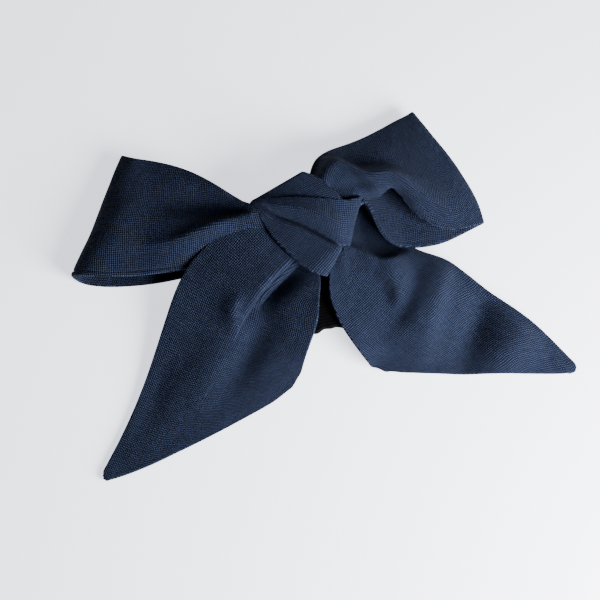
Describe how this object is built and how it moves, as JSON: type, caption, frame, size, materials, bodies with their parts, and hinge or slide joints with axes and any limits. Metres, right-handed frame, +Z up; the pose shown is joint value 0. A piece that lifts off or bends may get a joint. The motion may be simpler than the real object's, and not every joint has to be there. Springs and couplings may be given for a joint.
{
  "type": "hair bow",
  "caption": "Tied linen hair bow with two loops, a wrapped knot and two pointed tails, on a sprung, ribbon-lined alligator clip.",
  "frame": {"origin": "on the surface that the bow lies on, under the middle of its outline", "axes": "+Z up out of the knot, +X from the left loop to the right loop, +Y from the tails towards the loops; the clip's hinge pin runs along X and its nose points to -Y"},
  "size_m": [0.1494, 0.1001, 0.0204],
  "materials": {
    "linen": "navy plain-weave linen, matt with a slight sheen on the folds",
    "felt": "navy craft felt",
    "thread": "navy polyester sewing thread",
    "ribbon": "dark navy ribbed grosgrain ribbon",
    "clip_steel": "nickel-plated stamped sheet",
    "spring_steel": "bright drawn wire"
  },
  "bodies": {
    "bow": {"left_loop": "linen", "right_loop": "linen", "left_tail": "linen", "right_tail": "linen", "knot_core": "linen", "knot_upper_wrap": "linen", "knot_lower_wrap": "linen", "felt_pad": "felt", "tack_stitches": "thread", "clip_ribbon": "ribbon", "clip_upper_arm": "clip_steel", "hinge_pin": "clip_steel", "torsion_spring": "spring_steel"},
    "jaw": {"clip_lower_arm": "clip_steel"}
  },
  "joints": [
    {"name": "jaw_hinge", "type": "hinge", "parent": "bow", "child": "jaw", "pos_m": [0.0027, 0.01, 0.005], "axis": [1, 0, 0], "range_deg": [0, 22], "stiffness_Nm_per_rad": 0.07, "springref_deg": -24.64, "deforming": ["torsion_spring"]}
  ]
}
